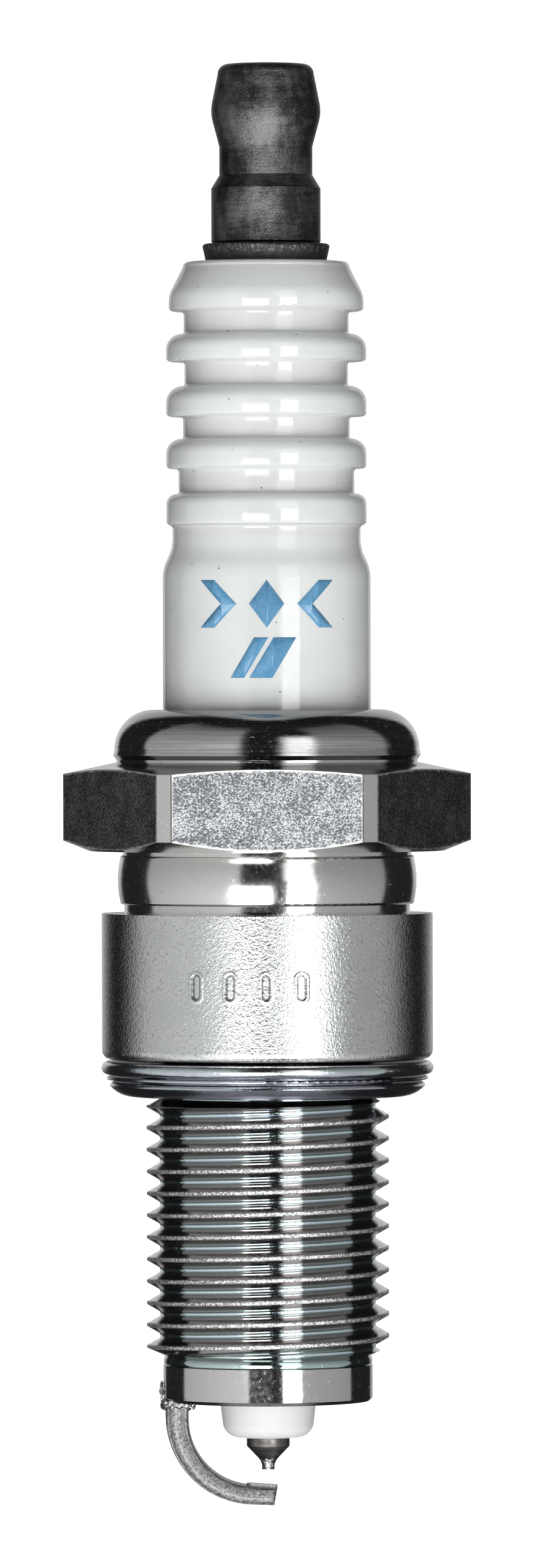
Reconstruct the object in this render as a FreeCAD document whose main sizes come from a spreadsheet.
import FreeCAD, Part
import math
import os
import re

import Sketcher

# A resistor spark plug: M14 x 1.25 thread, 19 mm reach, folded crush gasket, projected nose with
# a fine noble-metal tip and a padded ground strap.
#
# Units are millimetres.  +Z points from the firing end to the terminal and the plug's axis is the
# Z axis.  The origin is on the axis in the sealing face of the gasket.  Sizes of everything but
# the gasket are measured from the shell's own seat face, which sits one gasket above the origin,
# so "height" below always means height over that seat; the firing end is below it.

SIZES = {
    # shell: seat, thread and end collar
    "thread_major_d": 13.85,
    "thread_root_d": 12.3,
    "thread_pitch": 1.25,
    "thread_crest": 0.15,
    "thread_root_round": 0.18,
    "thread_reach": 19.5,
    "thread_first_groove": 3.9,
    "thread_top_gap": 2.2,
    "thread_lead_in": 0.45,
    "relief_d": 12.1,
    "runout_d": 11.75,
    "runout_width": 0.55,
    "runout_bulge": 0.09,
    "collar_d": 11.96,
    "collar_height": 2.06,
    "collar_chamfer": 0.2,
    # shell: barrel, buckled ring, hexagon and crimped rim
    "barrel_d": 18.9,
    "barrel_top": 8.34,
    "barrel_round": 0.55,
    "waist_d": 16.3,
    "ring_bottom": 8.85,
    "ring_top": 11.65,
    "ring_edge_d": 16.78,
    "ring_barrel_round": 5.6,
    "ring_corner": 0.15,
    "hex_flats": 20.6,
    "hex_corners": 23.28,
    "hex_bottom": 11.9,
    "hex_bottom_face_d": 20.3,
    "hex_bottom_corner": 12.5,
    "hex_top_corner": 16.3,
    "hex_top": 16.95,
    "rim_groove_d": 17.2,
    "rim_d": 17.56,
    "rim_skirt": 17.35,
    "rim_top": 19.95,
    "rim_round": 2.2,
    "rim_hole_d": 11.94,
    "rim_lip": 1.2,
    # shell: bores and the ledge the insulator sits on
    "packing_bore_d": 15,
    "packing_bore_bottom": 8.1,
    "middle_bore_d": 9.9,
    "ledge_bore_d": 8.1,
    "ledge_bottom": -4.6,
    "end_bore_d": 9.2,
    "seat_angle": 30,
    "step_angle": 45,
    # four stamped marks on the barrel
    "mark_count": 4,
    "mark_pitch": 12.4,
    "mark_first_angle": -25.3,
    "mark_height": 4.3,
    "mark_length": 1.5,
    "mark_width": 0.55,
    "mark_depth": 0.16,
    # insulator
    "insulator_top": 45.5,
    "head_face_d": 9.52,
    "head_d": 11.14,
    "head_shoulder": 43.59,
    "head_shoulder_round": 1.5,
    "head_round": 0.3,
    "head_bottom": 42.67,
    "rib_d": 11.44,
    "rib_foot": 0.12,
    "rib_edge_round": 0.25,
    "groove_fillet": 0.2,
    "rib_1_bottom": 30.47,
    "rib_1_top": 32.26,
    "groove_1_d": 10.04,
    "rib_2_bottom": 33.69,
    "rib_2_top": 35.4,
    "groove_2_d": 9.52,
    "rib_3_bottom": 36.66,
    "rib_3_top": 38.41,
    "groove_3_d": 9.34,
    "rib_4_bottom": 39.8,
    "rib_4_top": 41.38,
    "groove_4_d": 9.44,
    "neck_d": 10.74,
    "neck_bottom": 29.73,
    "body_top": 27.45,
    "body_d": 11.88,
    "flange_top": 13,
    "flange_d": 14.7,
    "flange_bottom": 8.6,
    "core_d": 9.5,
    "shoulder_top": -2.4,
    "nose_root_d": 7.8,
    "nose_neck_d": 6.6,
    "nose_neck_drop": 2.5,
    "nose_exit_d": 5.5,
    "nose_d": 5.22,
    "nose_end": -21.58,
    "nose_round": 0.9,
    "stack_bore_d": 4,
    "stack_bore_bottom": -1,
    "nose_bore_d": 2.6,
    # packings
    "seat_packing_height": 0.35,
    "packing_wire_d": 1.5,
    "upper_ring_height": 17.7,
    # terminal stud and nut
    "stud_flange_d": 7.26,
    "stud_flange_foot_d": 6.9,
    "stud_flange_height": 1.02,
    "stud_flange_round": 0.18,
    "stud_thread_d": 4,
    "stud_thread_length": 7.2,
    "stud_stem_d": 3.7,
    "stud_tip": 21.5,
    "stud_ring_d": 3,
    "stud_ring_count": 4,
    "stud_ring_pitch": 1,
    "stud_chamfer": 0.3,
    "nut_d": 6.25,
    "nut_height": 10.25,
    "nut_band": 3.15,
    "nut_waist_d": 5.32,
    "nut_waist_bottom": 3.92,
    "nut_waist_top": 5.53,
    "nut_swell_bottom_d": 6.08,
    "nut_swell_bottom": 6.95,
    "nut_swell_top_d": 6.14,
    "nut_swell_top": 8.1,
    "nut_swell_round": 2.45,
    "nut_crown_d": 5.5,
    "nut_crown": 9.7,
    "nut_crown_round": 0.56,
    "nut_face_d": 4.4,
    "nut_chamfer": 0.12,
    "nut_hole_depth": 8,
    # fired-in stack
    "resistor_bottom": 8.5,
    "resistor_top": 17.5,
    "upper_glass_top": 26.2,
    # centre electrode
    "electrode_d": 2.46,
    "electrode_cone_top": -22.09,
    "electrode_cone_d": 1.1,
    "electrode_cone_bottom": -22.8,
    "electrode_head_d": 3.6,
    "electrode_head_top": 1.2,
    "electrode_knob_d": 2.2,
    "electrode_knob_top": 2.4,
    "core_wire_d": 1.5,
    "core_wire_bottom": -20.9,
    "core_wire_point": 0.6,
    "tip_d": 0.72,
    "tip_weld_length": 0.5,
    "tip_end": -23.43,
    # ground electrode
    "gap": 0.86,
    "strap_thickness": 1.31,
    "strap_end_thickness": 0.97,
    "strap_width": 2.7,
    "strap_edge_round": 0.28,
    "strap_outer_x": -5.86,
    "strap_inner_radius": 3.78,
    "strap_inner_angle": 86,
    "strap_outer_radius": 5.1,
    "strap_outer_angle": 88,
    "strap_end_x": 0.52,
    "strap_end_slant": 0.18,
    "strap_tip_chamfer": 0.45,
    "pad_length": 1.76,
    "pad_width": 1.3,
    "pad_thickness": 0.13,
    "pad_seat": 0.05,
    "pad_corner": 0.3,
    # folded gasket, measured from its own sealing face
    "gasket_height": 2.01,
    "gasket_play": 0.09,
    "gasket_hole_d": 12.7,
    "gasket_hole_round": 0.4,
    "gasket_seat_round": 0.75,
    "gasket_top_d": 18.96,
    "gasket_bottom_d": 18,
    "gasket_lip_d": 18.36,
    "gasket_top_fold": 0.76,
    "gasket_bottom_fold": 0.85,
    "gasket_bottom_edge": 0.6,
    "gasket_bottom_land_d": 15.4,
    "gasket_lip_thickness": 0.2,
    "gasket_slit_d": 14.6,
}

MATH_WORDS = {"sin", "cos", "tan", "sqrt", "deg"}

doc = FreeCAD.newDocument("spark_plug")
sizes = doc.addObject("Spreadsheet::Sheet", "Sizes")
for row, (alias, value) in enumerate(SIZES.items(), start=1):
    sizes.set(f"A{row}", alias)
    sizes.set(f"B{row}", str(value))
    sizes.setAlias(f"B{row}", alias)
doc.recompute()


# ---- helpers --------------------------------------------------------------------------------


def linked(text):
    """The expression with every size name pointing at the sheet."""

    def link(match):
        word = match.group(0)
        return word if word in MATH_WORDS else f"Sizes.{word}"

    return re.sub(r"[a-z][a-z_0-9]*", link, text)


def size(text):
    """The present value of an expression made of size names."""
    value = sizes.evalExpression(text)
    return float(getattr(value, "Value", value))


def new_body(label, height="gasket_height + gasket_play"):
    """A body whose own zero is placed at the given height on the axis."""
    body = doc.addObject("PartDesign::Body", label)
    body.Label = label
    body.setExpression("Placement.Base.z", linked(height))
    doc.recompute()
    return body


def origin_item(body, role):
    """One of the body's own origin planes or axes."""
    return [item for item in body.Origin.OriginFeatures if item.Role == role][0]


def new_sketch(body, name, role="XZ_Plane"):
    """An empty sketch on one of the body's own origin planes."""
    sketch = body.newObject("Sketcher::SketchObject", name)
    sketch.AttachmentSupport = [(origin_item(body, role), "")]
    sketch.MapMode = "FlatFace"
    doc.recompute()
    return sketch


def arc_through(start, end, radius, turn):
    """The short arc from start to end, turning left for +1 and right for -1.

    It is always drawn anticlockwise, so a right-hand turn runs from end to start.
    """
    chord = end - start
    left = FreeCAD.Vector(-chord.y, chord.x, 0).normalize()
    rise = radius - math.sqrt(max(radius**2 - (chord.Length / 2) ** 2, 0))
    crown = (start + end) * 0.5 - left * rise * turn
    return Part.Arc(start, crown, end) if turn > 0 else Part.Arc(end, crown, start)


def pin(sketch, geometry, end, across, up):
    """Hold one end of a line or arc at the place given by two expressions."""
    for kind, text in (("DistanceX", across), ("DistanceY", up)):
        index = sketch.addConstraint(Sketcher.Constraint(kind, -1, 1, geometry, end, size(text)))
        sketch.setExpression(f"Constraints[{index}]", linked(text))


def draw(sketch, steps, closed=True):
    """Draw an outline.

    A step (across, up) is a straight line to that point; (across, up, radius, turn) is an arc.
    """
    points = [FreeCAD.Vector(size(step[0]), size(step[1]), 0) for step in steps]
    first = 0 if closed else 1
    starts, ends = [], []
    for index in range(first, len(steps)):
        step, start, end = steps[index], points[index - 1], points[index]
        if len(step) == 2:
            geometry = sketch.addGeometry(Part.LineSegment(start, end), False)
            forward = True
        else:
            arc = arc_through(start, end, size(step[2]), step[3])
            geometry = sketch.addGeometry(arc, False)
            forward = step[3] > 0
            radius = sketch.addConstraint(Sketcher.Constraint("Radius", geometry, size(step[2])))
            sketch.setExpression(f"Constraints[{radius}]", linked(step[2]))
        starts.append((geometry, 1 if forward else 2))
        ends.append((geometry, 2 if forward else 1))
    for index, (end, step) in enumerate(zip(ends, steps[first:])):
        following = (index + 1) % len(starts)
        if closed or following:
            sketch.addConstraint(Sketcher.Constraint("Coincident", *end, *starts[following]))
        pin(sketch, *end, step[0], step[1])
    if not closed:
        pin(sketch, *starts[0], steps[0][0], steps[0][1])
    doc.recompute()


def revolve(body, name, steps):
    """A turned solid from a half section drawn as (radius, height) steps."""
    sketch = new_sketch(body, name + "_section")
    draw(sketch, steps)
    turned = body.newObject("PartDesign::Revolution", name)
    turned.Profile = sketch
    turned.ReferenceAxis = (sketch, ["V_Axis"])
    turned.Angle = 360
    body.Tip = turned
    doc.recompute()
    return turned


def turned_part(label, steps, height="gasket_height + gasket_play"):
    """A body that is a single turned solid."""
    body = new_body(label, height)
    revolve(body, label + "_turned", steps)
    return body


def half(name):
    """Half of a diameter, as an expression."""
    return f"{name} / 2"


def tangent_round(across, up):
    """Radius of the arc that starts along the axis and moves over by across while rising by up."""
    return f"(({across})^2 + ({up})^2) / (2 * ({across}))"


def crown_round(half_chord, rise):
    """Radius of the arc that bulges by rise over a chord of twice half_chord."""
    return f"(({half_chord})^2 + ({rise})^2) / (2 * ({rise}))"


def circle_steps(centre, height, radius):
    """A full circle as four quarter arcs."""
    return [
        (f"{centre} + {radius}", height, radius, 1),
        (centre, f"{height} + {radius}", radius, 1),
        (f"{centre} - {radius}", height, radius, 1),
        (centre, f"{height} - {radius}", radius, 1),
    ]


def rounded_rectangle(along, across, corner):
    """A rectangle about the origin with half sizes along and across and round corners."""
    steps = []
    for sign_x, sign_y in (("", "-"), ("", ""), ("-", ""), ("-", "-")):
        on_side = (f"{sign_x}({along})", f"{sign_y}({across} - {corner})")
        on_end = (f"{sign_x}({along} - {corner})", f"{sign_y}({across})")
        start, end = (on_end, on_side) if sign_x != sign_y else (on_side, on_end)
        steps += [start, (*end, corner, 1)]
    return steps


def pocket(body, name, sketch, midplane=False, reversed_way=False):
    """Cut a sketch through everything on one or both sides of its plane."""
    cut = body.newObject("PartDesign::Pocket", name)
    cut.Profile = sketch
    cut.Type = "ThroughAll"
    cut.Midplane = midplane
    cut.Reversed = reversed_way
    body.Tip = cut
    doc.recompute()
    return cut


# ---- shell ----------------------------------------------------------------------------------

HELIX_TURNS_BELOW = 11
HELIX_TURNS = 13.2


def shell_outside():
    """The turned outside, from the end face up to the hole in the crimped rim."""
    collar_top = "-thread_reach + collar_height"
    thread_bottom = f"{collar_top} + runout_width"
    rim_side = "rim_d / 2 - ring_corner / 2"
    return [
        ("collar_d / 2 - collar_chamfer", "-thread_reach"),
        (half("collar_d"), "-thread_reach + collar_chamfer"),
        (half("collar_d"), collar_top),
        (half("runout_d"), collar_top),
        (half("runout_d"), thread_bottom, crown_round("runout_width / 2", "runout_bulge"), 1),
        (half("thread_major_d"), f"{thread_bottom} + thread_lead_in"),
        (half("thread_major_d"), "-thread_top_gap - thread_lead_in"),
        (half("relief_d"), "-thread_top_gap"),
        (half("relief_d"), "0"),
        ("barrel_d / 2 - barrel_round", "0"),
        (half("barrel_d"), "barrel_round", "barrel_round", 1),
        (half("barrel_d"), "barrel_top"),
        (half("waist_d"), "barrel_top"),
        (half("waist_d"), "ring_bottom"),
        ("ring_edge_d / 2 - ring_corner", "ring_bottom"),
        (half("ring_edge_d"), "ring_bottom + ring_corner", "ring_corner", 1),
        (half("ring_edge_d"), "ring_top - ring_corner", "ring_barrel_round", 1),
        ("ring_edge_d / 2 - ring_corner", "ring_top", "ring_corner", 1),
        ("ring_edge_d / 2 - ring_corner", "hex_bottom"),
        (half("hex_bottom_face_d"), "hex_bottom"),
        (half("hex_corners"), "hex_bottom_corner"),
        (half("hex_corners"), "hex_top_corner"),
        (half("rim_groove_d"), "hex_top"),
        (half("rim_groove_d"), "hex_top + ring_corner"),
        (half("rim_d"), "rim_skirt"),
        (rim_side, "rim_top - rim_round"),
        (f"{rim_side} - rim_round", "rim_top", "rim_round", 1),
        (half("rim_hole_d"), "rim_top"),
    ]


def shell_inside():
    """The stepped bore, from the crimped lip down to the firing end."""
    lip_bend = "(rim_round - rim_lip)"
    step_drop = "(packing_bore_d - middle_bore_d) / 2 * tan(step_angle * 1deg)"
    ledge = "shoulder_top - seat_packing_height"
    slope = "tan(seat_angle * 1deg)"
    return [
        (half("rim_hole_d"), "rim_top - rim_lip"),
        (f"packing_bore_d / 2 - {lip_bend}", "rim_top - rim_lip"),
        (half("packing_bore_d"), "rim_top - rim_round", lip_bend, -1),
        (half("packing_bore_d"), "packing_bore_bottom"),
        (half("middle_bore_d"), f"packing_bore_bottom - {step_drop}"),
        (half("middle_bore_d"), f"{ledge} + (middle_bore_d - core_d) / 2 * {slope}"),
        (half("ledge_bore_d"), f"{ledge} - (core_d - ledge_bore_d) / 2 * {slope}"),
        (half("ledge_bore_d"), "ledge_bottom"),
        (half("end_bore_d"), "ledge_bottom - (end_bore_d - ledge_bore_d) / 2"),
        (half("end_bore_d"), "-thread_reach"),
    ]


def cut_hexagon(body):
    """Cut the six flats, two of them facing -Y and +Y, out of the turned collar."""
    sketch = new_sketch(body, "flats", "XY_Plane")
    corner = "hex_flats / 2 / cos(30deg)"
    draw(sketch, [(f"{corner} * cos({k}deg)", f"{corner} * sin({k}deg)") for k in range(0, 360, 60)])
    stock = Part.Circle(FreeCAD.Vector(), FreeCAD.Vector(0, 0, 1), size("hex_corners"))
    rim = sketch.addGeometry(stock, False)
    sketch.addConstraint(Sketcher.Constraint("Coincident", rim, 3, -1, 1))
    radius = sketch.addConstraint(Sketcher.Constraint("Radius", rim, size("hex_corners")))
    sketch.setExpression(f"Constraints[{radius}]", linked("hex_corners"))
    doc.recompute()
    return pocket(body, "hexagon_flats", sketch, midplane=True)


def cut_thread(body):
    """Cut the right-hand helical groove; both of its ends run out in the undercuts."""
    sketch = new_sketch(body, "thread_groove")
    middle = f"-thread_first_groove - {HELIX_TURNS_BELOW} * thread_pitch"
    outer = "thread_major_d / 2 + thread_crest"
    mouth = "((thread_pitch - thread_crest) / 2 + thread_crest * tan(30deg))"
    foot = "thread_root_d / 2 + thread_root_round * (1 - sin(30deg))"
    flank = "thread_root_round * cos(30deg)"
    draw(
        sketch,
        [
            (outer, f"{middle} + {mouth}"),
            (foot, f"{middle} + {flank}"),
            (foot, f"{middle} - {flank}", "thread_root_round", 1),
            (outer, f"{middle} - {mouth}"),
        ],
    )
    groove = body.newObject("PartDesign::SubtractiveHelix", "thread")
    groove.Profile = sketch
    groove.ReferenceAxis = (sketch, ["V_Axis"])
    groove.setExpression("Pitch", linked("thread_pitch"))
    groove.setExpression("Height", linked(f"{HELIX_TURNS} * thread_pitch"))
    body.Tip = groove
    doc.recompute()


def stamp_marks(body):
    """Shallow oblong dimples side by side on the front of the barrel."""
    sketch = new_sketch(body, "mark")
    depth = "(barrel_d / 2 - mark_depth)"
    angle = "mark_first_angle * 1deg"
    turn = FreeCAD.Rotation(FreeCAD.Vector(0, 1, 0), size("mark_first_angle"))
    sketch.AttachmentOffset = FreeCAD.Placement(FreeCAD.Vector(), turn)
    sketch.setExpression("AttachmentOffset.Rotation.Angle", linked("mark_first_angle"))
    sketch.setExpression("AttachmentOffset.Base.x", linked(f"{depth} * sin({angle})"))
    sketch.setExpression("AttachmentOffset.Base.z", linked(f"{depth} * cos({angle})"))
    side = "mark_width / 2"
    low = "mark_height - mark_length / 2 + mark_width / 2"
    high = "mark_height + mark_length / 2 - mark_width / 2"
    draw(
        sketch,
        [
            (side, low, side, 1),
            (side, high),
            ("0", f"{high} + {side}", side, 1),
            (f"-{side}", high, side, 1),
            (f"-{side}", low),
            ("0", f"{low} - {side}", side, 1),
        ],
    )
    mark = pocket(body, "stamped_mark", sketch, reversed_way=True)
    pattern = body.newObject("PartDesign::PolarPattern", "stamped_marks")
    pattern.Originals = [mark]
    pattern.Axis = (origin_item(body, "Z_Axis"), [""])
    pattern.setExpression("Occurrences", linked("mark_count"))
    pattern.setExpression("Angle", linked("mark_pitch * (mark_count - 1)"))
    body.Tip = pattern
    doc.recompute()


def build_shell():
    body = new_body("shell")
    revolve(body, "turned_blank", shell_outside() + shell_inside())
    cut_hexagon(body)
    cut_thread(body)
    stamp_marks(body)


# ---- gasket ---------------------------------------------------------------------------------


def fold(outer, bottom, thickness):
    """A fold of sheet in section: out along its underside, round its edge and back in."""
    bend = f"{thickness} / 2"
    return [
        (f"{outer} - {bend}", bottom),
        (outer, f"{bottom} + {bend}", bend, 1),
        (f"{outer} - {bend}", f"{bottom} + {thickness}", bend, 1),
    ]


def build_gasket():
    """A folded sheet ring: a dished lower fold, a free lip and an upper fold, split by slits."""
    lip_bottom = "(gasket_height - gasket_top_fold + gasket_bottom_fold - gasket_lip_thickness) / 2"
    lip_top = f"{lip_bottom} + gasket_lip_thickness"
    top_fold_bottom = "gasket_height - gasket_top_fold"
    slit, hole, corner = half("gasket_slit_d"), half("gasket_hole_d"), "gasket_hole_round"
    seat_corner = "gasket_seat_round"
    dish = tangent_round("gasket_bottom_edge", "(gasket_bottom_d - gasket_bottom_land_d) / 2")
    upper_bend = "(gasket_bottom_fold - gasket_bottom_edge)"
    steps = [
        (f"{hole} + {seat_corner}", "0", seat_corner, 1),
        (half("gasket_bottom_land_d"), "0"),
        (half("gasket_bottom_d"), "gasket_bottom_edge", dish, 1),
        (f"gasket_bottom_d / 2 - {upper_bend}", "gasket_bottom_fold", upper_bend, 1),
        (slit, "gasket_bottom_fold"),
        (slit, lip_bottom),
        *fold(half("gasket_lip_d"), lip_bottom, "gasket_lip_thickness"),
        (slit, lip_top),
        (slit, top_fold_bottom),
        *fold(half("gasket_top_d"), top_fold_bottom, "gasket_top_fold"),
        (f"{hole} + {corner}", "gasket_height"),
        (hole, f"gasket_height - {corner}", corner, 1),
        (hole, seat_corner),
    ]
    turned_part("gasket", steps, "0")


# ---- insulator ------------------------------------------------------------------------------


def rib_shoulder(groove, top):
    """The upper side of a rib: a quarter round, then a small fillet at the foot of a groove."""
    shoulder = f"((rib_d - {groove}) / 2 - rib_foot)"
    return [
        (half("rib_d"), f"{top} - {shoulder}"),
        (f"{groove} / 2 + rib_foot", top, shoulder, 1),
        (half(groove), f"{top} + rib_foot", "rib_foot", -1),
    ]


def insulator_ribs():
    """The four ribs and the grooves over them, up to the fillet under the head."""
    steps = []
    wall = "neck_d"
    for rib in range(1, 5):
        bottom, top, groove = f"rib_{rib}_bottom", f"rib_{rib}_top", f"groove_{rib}_d"
        steps += [
            (half(wall), f"{bottom} - groove_fillet"),
            (f"{wall} / 2 + groove_fillet", bottom, "groove_fillet", -1),
            ("rib_d / 2 - rib_edge_round", bottom),
            (half("rib_d"), f"{bottom} + rib_edge_round", "rib_edge_round", 1),
            *rib_shoulder(groove, top),
        ]
        wall = groove
    steps += [
        (half(wall), "head_bottom - groove_fillet"),
        (f"{wall} / 2 + groove_fillet", "head_bottom", "groove_fillet", -1),
    ]
    return steps


def head_shoulder_steps():
    """The round between the cylinder and the cone of the head."""
    run = "((head_d - head_face_d) / 2)"
    rise = "(insulator_top - head_round - head_shoulder)"
    side = f"sqrt({run}^2 + {rise}^2)"
    tangent = f"(head_shoulder_round * ({side} - {rise}) / {run})"
    return [
        (half("head_d"), f"head_shoulder - {tangent}"),
        (
            f"head_d / 2 - {tangent} * {run} / {side}",
            f"head_shoulder + {tangent} * {rise} / {side}",
            "head_shoulder_round",
            1,
        ),
    ]


def build_insulator():
    """The one-piece ceramic, from the bare nose up to the head under the terminal."""
    cone = "tan(seat_angle * 1deg)"
    nose_top = f"shoulder_top - (core_d - nose_root_d) / 2 * {cone}"
    core_top = "flange_bottom - (flange_d - core_d) / 2 * tan(step_angle * 1deg)"
    half_taper = "(body_d - neck_d) / 4"
    half_rise = "(neck_bottom - body_top) / 2"
    taper_round = tangent_round(half_taper, half_rise)
    steps = [
        (half("nose_bore_d"), "nose_end"),
        ("nose_d / 2 - nose_round", "nose_end"),
        (half("nose_d"), "nose_end + nose_round", "nose_round", 1),
        (half("nose_exit_d"), "-thread_reach"),
        (half("nose_neck_d"), f"{nose_top} - nose_neck_drop"),
        (half("nose_root_d"), nose_top),
        (half("core_d"), "shoulder_top"),
        (half("core_d"), core_top),
        (half("flange_d"), "flange_bottom"),
        (half("flange_d"), f"flange_top - (flange_d - body_d) / 2 * {cone}"),
        (half("body_d"), "flange_top"),
        (half("body_d"), "body_top"),
        (f"body_d / 2 - {half_taper}", f"body_top + {half_rise}", taper_round, 1),
        (half("neck_d"), "neck_bottom", taper_round, -1),
        *insulator_ribs(),
        ("head_d / 2 - rib_edge_round", "head_bottom"),
        (half("head_d"), "head_bottom + rib_edge_round", "rib_edge_round", 1),
        *head_shoulder_steps(),
        (half("head_face_d"), "insulator_top - head_round"),
        ("head_face_d / 2 - head_round", "insulator_top", "head_round", 1),
        (half("stack_bore_d"), "insulator_top"),
        (half("stack_bore_d"), "stack_bore_bottom"),
        (half("nose_bore_d"), "stack_bore_bottom - (stack_bore_d - nose_bore_d) / 2"),
    ]
    turned_part("insulator", steps)


# ---- packings between shell and insulator ---------------------------------------------------


def lower_ring_height():
    """Centre height of the wire ring lying on the cone of the insulator's flange."""
    reach = "(packing_bore_d - packing_wire_d - body_d) / 2"
    wire = "packing_wire_d / 2"
    angle = "seat_angle * 1deg"
    return f"flange_top - {reach} * tan({angle}) + {wire} / cos({angle})"


def build_packings():
    """Two wire rings with pressed powder between them, and the washer under the shoulder."""
    wire = "packing_wire_d / 2"
    centre = "packing_bore_d / 2 - packing_wire_d / 2"
    turned_part("upper_packing_ring", circle_steps(centre, "upper_ring_height", wire))
    turned_part("lower_packing_ring", circle_steps(centre, lower_ring_height(), wire))
    talc_bottom = f"{lower_ring_height()} + {wire}"
    talc_top = f"upper_ring_height - {wire}"
    talc = [
        (half("body_d"), talc_bottom),
        (half("packing_bore_d"), talc_bottom),
        (half("packing_bore_d"), talc_top),
        (half("body_d"), talc_top),
    ]
    turned_part("talc_packing", talc)
    rise = "(core_d - ledge_bore_d) / 2 * tan(seat_angle * 1deg)"
    washer = [
        (half("ledge_bore_d"), f"shoulder_top - seat_packing_height - {rise}"),
        (half("core_d"), "shoulder_top - seat_packing_height"),
        (half("core_d"), "shoulder_top"),
        (half("ledge_bore_d"), f"shoulder_top - {rise}"),
    ]
    turned_part("seat_packing", washer)


# ---- terminal -------------------------------------------------------------------------------


def stud_tip_steps(tip):
    """The ringed end of the stud that the glass grips, from its end face upwards."""
    steps = []
    for ring in range(int(size("stud_ring_count"))):
        bottom = f"{tip} + {ring} * stud_ring_pitch"
        steps += [
            (half("stud_stem_d"), bottom),
            (half("stud_stem_d"), f"{bottom} + stud_ring_pitch / 2"),
            (half("stud_ring_d"), f"{bottom} + stud_ring_pitch / 2"),
            (half("stud_ring_d"), f"{bottom} + stud_ring_pitch"),
        ]
    steps.append((half("stud_stem_d"), f"{tip} + stud_ring_count * stud_ring_pitch"))
    return steps


def build_terminal_stud():
    """Stem, flange and threaded end; its own zero is the underside of the flange."""
    tip = "stud_tip - insulator_top"
    thread_top = "stud_flange_height + stud_thread_length"
    steps = [
        ("0", tip),
        *stud_tip_steps(tip),
        (half("stud_stem_d"), "0"),
        (half("stud_flange_foot_d"), "0"),
        (half("stud_flange_d"), "stud_flange_height - stud_flange_round"),
        ("stud_flange_d / 2 - stud_flange_round", "stud_flange_height", "stud_flange_round", 1),
        (half("stud_thread_d"), "stud_flange_height"),
        (half("stud_thread_d"), f"{thread_top} - stud_chamfer"),
        ("stud_thread_d / 2 - stud_chamfer", thread_top),
        ("0", thread_top),
    ]
    turned_part("terminal_stud", steps, "gasket_height + gasket_play + insulator_top")


def build_terminal_nut():
    """The dumb-bell nut over the stud's thread; its own zero is its lower face."""
    steps = [
        (half("stud_thread_d"), "0"),
        ("nut_d / 2 - nut_chamfer", "0"),
        (half("nut_d"), "nut_chamfer"),
        (half("nut_d"), "nut_band"),
        (half("nut_waist_d"), "nut_waist_bottom"),
        (half("nut_waist_d"), "nut_waist_top"),
        (half("nut_swell_bottom_d"), "nut_swell_bottom"),
        (half("nut_swell_top_d"), "nut_swell_top", "nut_swell_round", 1),
        (half("nut_crown_d"), "nut_crown"),
        (half("nut_face_d"), "nut_height", "nut_crown_round", 1),
        ("0", "nut_height"),
        ("0", "nut_hole_depth + stud_thread_d / 2 * tan(seat_angle * 1deg)"),
        (half("stud_thread_d"), "nut_hole_depth"),
    ]
    turned_part(
        "terminal_nut",
        steps,
        "gasket_height + gasket_play + insulator_top + stud_flange_height",
    )


# ---- centre electrode and the stack fired in over it ----------------------------------------


def head_cone(radius):
    """Height of the insulator's inner step at the given radius."""
    return f"stack_bore_bottom - (stack_bore_d / 2 - {radius})"


def build_centre_electrode():
    """Nickel sheath with a collar on the insulator's inner step, open at the top for its core."""
    sheath = [
        ("0", "electrode_cone_bottom"),
        (half("electrode_cone_d"), "electrode_cone_bottom"),
        (half("electrode_d"), "electrode_cone_top"),
        (half("electrode_d"), head_cone(half("electrode_d"))),
        (half("electrode_head_d"), head_cone(half("electrode_head_d"))),
        (half("electrode_head_d"), "electrode_head_top"),
        (half("electrode_knob_d"), "electrode_head_top"),
        (half("electrode_knob_d"), "electrode_knob_top"),
        (half("core_wire_d"), "electrode_knob_top"),
        (half("core_wire_d"), "core_wire_bottom + core_wire_point"),
        ("0", "core_wire_bottom"),
    ]
    turned_part("centre_electrode", sheath)
    wire = [
        ("0", "core_wire_bottom"),
        (half("core_wire_d"), "core_wire_bottom + core_wire_point"),
        (half("core_wire_d"), "electrode_knob_top"),
        ("0", "electrode_knob_top"),
    ]
    turned_part("centre_electrode_core", wire)
    neck = tangent_round("(electrode_cone_d - tip_d) / 2", "tip_weld_length")
    tip = [
        ("0", "tip_end"),
        (half("tip_d"), "tip_end"),
        (half("tip_d"), "electrode_cone_bottom - tip_weld_length"),
        (half("electrode_cone_d"), "electrode_cone_bottom", neck, -1),
        ("0", "electrode_cone_bottom"),
    ]
    turned_part("centre_tip", tip)


def build_stack():
    """Conductive glass, resistor and conductive glass, filling the bore up to the stud."""
    lower = [
        ("0", "electrode_knob_top"),
        (half("electrode_knob_d"), "electrode_knob_top"),
        (half("electrode_knob_d"), "electrode_head_top"),
        (half("electrode_head_d"), "electrode_head_top"),
        (half("electrode_head_d"), head_cone(half("electrode_head_d"))),
        (half("stack_bore_d"), "stack_bore_bottom"),
        (half("stack_bore_d"), "resistor_bottom"),
        ("0", "resistor_bottom"),
    ]
    turned_part("lower_glass_seal", lower)
    resistor = [
        ("0", "resistor_bottom"),
        (half("stack_bore_d"), "resistor_bottom"),
        (half("stack_bore_d"), "resistor_top"),
        ("0", "resistor_top"),
    ]
    turned_part("resistor", resistor)
    upper = [
        ("0", "resistor_top"),
        (half("stack_bore_d"), "resistor_top"),
        (half("stack_bore_d"), "upper_glass_top"),
        (half("stud_stem_d"), "upper_glass_top"),
        *reversed(stud_tip_steps("stud_tip")),
        ("0", "stud_tip"),
    ]
    turned_part("upper_glass_seal", upper)


# ---- ground electrode -----------------------------------------------------------------------

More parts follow.
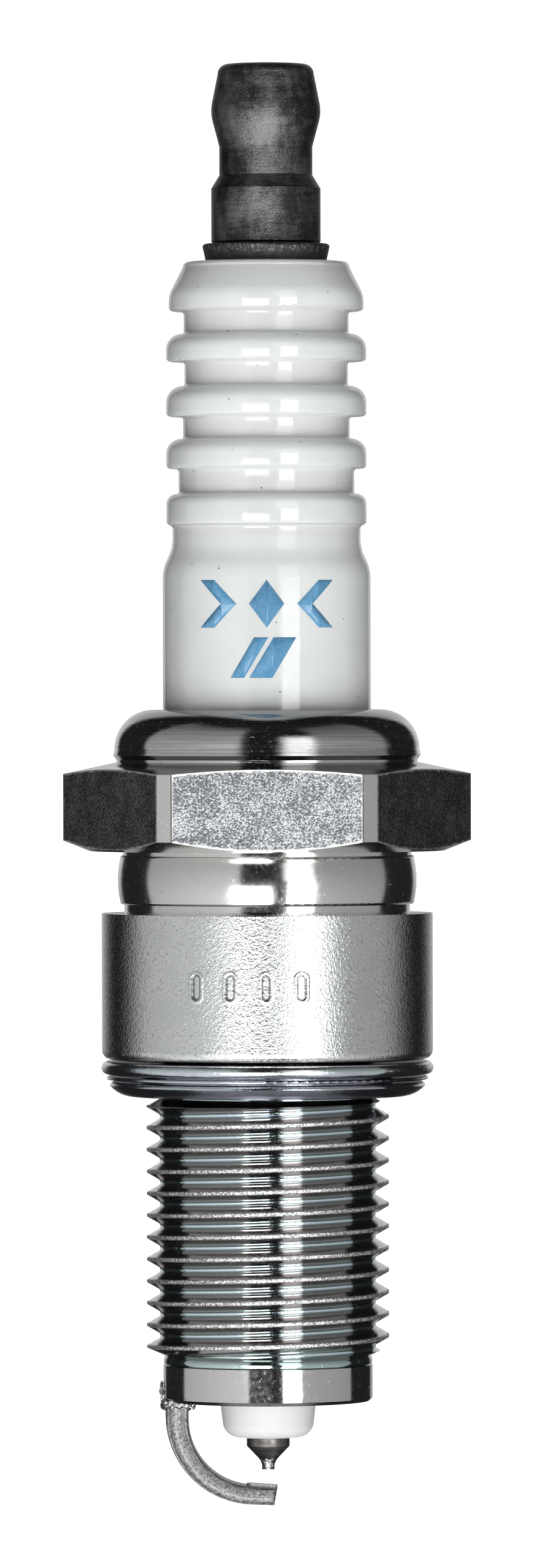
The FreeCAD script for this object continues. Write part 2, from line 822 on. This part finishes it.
# The strap is thinner at its end than at its root, so its two sides bend by different angles.
INNER_TURN = "(strap_inner_angle * 1deg)"
OUTER_TURN = "(strap_outer_angle * 1deg)"
INNER_X = "(strap_outer_x + strap_thickness)"
PAD_FACE_OVER_AXIS = f"(pad_thickness / sin({INNER_TURN}))"
INNER_END_HEIGHT = f"(tip_end - gap - {PAD_FACE_OVER_AXIS} - strap_end_x / tan({INNER_TURN}))"
OUTER_END_X = "(strap_end_x - strap_end_slant)"
OUTER_END_HEIGHT = f"({INNER_END_HEIGHT} - strap_end_thickness)"


def bend_steps(side_x, radius, turn, end_x, end_height):
    """Start and end of the bend that leads one side of the strap to its end corner."""
    bend_end_x = f"({side_x} + {radius} * (1 - cos({turn})))"
    bend_end_height = f"({end_height} + ({end_x} - {bend_end_x}) / tan({turn}))"
    start = (side_x, f"{bend_end_height} + {radius} * sin({turn})")
    return start, (bend_end_x, bend_end_height)


def pad_steps():
    """Outline of the noble-metal pad, with rounded corners."""
    return rounded_rectangle(half("pad_length"), half("pad_width"), "pad_corner")


def round_long_edges(body, pad, name):
    """Round the four long edges of the strap, which lie in its two broad sides."""
    side = size("strap_width") / 2
    long_edges = []
    for index, edge in enumerate(pad.Shape.Edges, start=1):
        ends = [vertex.Point for vertex in edge.Vertexes]
        in_side = all(abs(abs(end.y) - side) < 1e-6 for end in ends) and ends[0].y * ends[1].y > 0
        at_root = all(abs(end.z + size("thread_reach")) < 1e-6 for end in ends)
        at_tip = all(end.x > 0 for end in ends)
        if in_side and not at_root and not at_tip:
            long_edges.append(f"Edge{index}")
    fillet = body.newObject("PartDesign::Fillet", name)
    fillet.Base = (pad, long_edges)
    fillet.setExpression("Radius", linked("strap_edge_round"))
    body.Tip = fillet
    doc.recompute()


def build_ground_electrode():
    """A flat strap bent under the tip, with bevelled end corners and a seat for its pad."""
    body = new_body("ground_electrode")
    inner_start, inner_end = bend_steps(
        INNER_X, "strap_inner_radius", INNER_TURN, "strap_end_x", INNER_END_HEIGHT
    )
    outer_start, outer_end = bend_steps(
        "strap_outer_x", "strap_outer_radius", OUTER_TURN, OUTER_END_X, OUTER_END_HEIGHT
    )
    profile = new_sketch(body, "strap_profile")
    draw(
        profile,
        [
            ("strap_outer_x", "-thread_reach"),
            outer_start,
            (*outer_end, "strap_outer_radius", 1),
            (OUTER_END_X, OUTER_END_HEIGHT),
            ("strap_end_x", INNER_END_HEIGHT),
            inner_end,
            (*inner_start, "strap_inner_radius", -1),
            (INNER_X, "-thread_reach"),
        ],
    )
    strap = body.newObject("PartDesign::Pad", "strap")
    strap.Profile = profile
    strap.Midplane = True
    strap.setExpression("Length", linked("strap_width"))
    body.Tip = strap
    doc.recompute()
    round_long_edges(body, strap, "strap_edges")
    bevel_strap_tip(body)
    seat = new_sketch(body, "pad_seat", "XY_Plane")
    tilt_onto_strap(seat, "AttachmentOffset")
    draw(seat, pad_steps())
    pocket(body, "pad_seat_pocket", seat, reversed_way=True)


def bevel_strap_tip(body):
    """Take the two corners off the free end of the strap."""
    for name, side in (("left_corner", "-"), ("right_corner", "")):
        sketch = new_sketch(body, name, "XY_Plane")
        edge = f"{side}(strap_width / 2 + strap_edge_round)"
        draw(
            sketch,
            [
                ("strap_end_x - strap_tip_chamfer", edge),
                ("strap_end_x + strap_tip_chamfer", edge),
                (
                    "strap_end_x + strap_tip_chamfer",
                    f"{edge} - {side}2 * (strap_tip_chamfer + strap_edge_round / 2)",
                ),
            ],
        )
        pocket(body, name + "_bevel", sketch, midplane=True)


def tilt_onto_strap(item, prop):
    """Bind a placement to the middle of the pad's seat, sunk in the strap's sloping end."""
    back, sink = half("pad_length"), "pad_seat"
    across = f"strap_end_x - sin({INNER_TURN}) * {back} - cos({INNER_TURN}) * {sink}"
    up = f"{INNER_END_HEIGHT} + cos({INNER_TURN}) * {back} - sin({INNER_TURN}) * {sink}"
    turn = FreeCAD.Rotation(FreeCAD.Vector(0, 1, 0), 90 - size("strap_inner_angle"))
    setattr(item, prop, FreeCAD.Placement(FreeCAD.Vector(), turn))
    item.setExpression(f"{prop}.Rotation.Angle", linked("90 - strap_inner_angle"))
    item.setExpression(f"{prop}.Base.x", linked(across))
    lift = " + gasket_height + gasket_play" if prop == "Placement" else ""
    item.setExpression(f"{prop}.Base.z", linked(up + lift))
    doc.recompute()


def build_ground_pad():
    """The pad welded into its shallow seat, facing the centre tip."""
    body = new_body("ground_pad")
    tilt_onto_strap(body, "Placement")
    sketch = new_sketch(body, "pad_outline", "XY_Plane")
    draw(sketch, pad_steps())
    pad = body.newObject("PartDesign::Pad", "pad")
    pad.Profile = sketch
    pad.setExpression("Length", linked("pad_seat + pad_thickness"))
    body.Tip = pad
    doc.recompute()


# ---- build, check and write -----------------------------------------------------------------


def write_parts():
    """Check every object, then write one STEP file for each body."""
    for item in doc.Objects:
        if "Invalid" in item.State or "Error" in item.State:
            raise RuntimeError(f"{item.Name} did not compute: {item.State}")
    os.makedirs("parts", exist_ok=True)
    for body in doc.findObjects("PartDesign::Body"):
        shape = body.Shape
        if shape.isNull() or not shape.isValid() or len(shape.Solids) != 1:
            raise RuntimeError(f"{body.Label} is not one sound solid")
        shape.exportStep(f"parts/{body.Label}.step")


build_shell()
build_gasket()
build_insulator()
build_packings()
build_terminal_stud()
build_terminal_nut()
build_centre_electrode()
build_stack()
build_ground_electrode()
build_ground_pad()
write_parts()
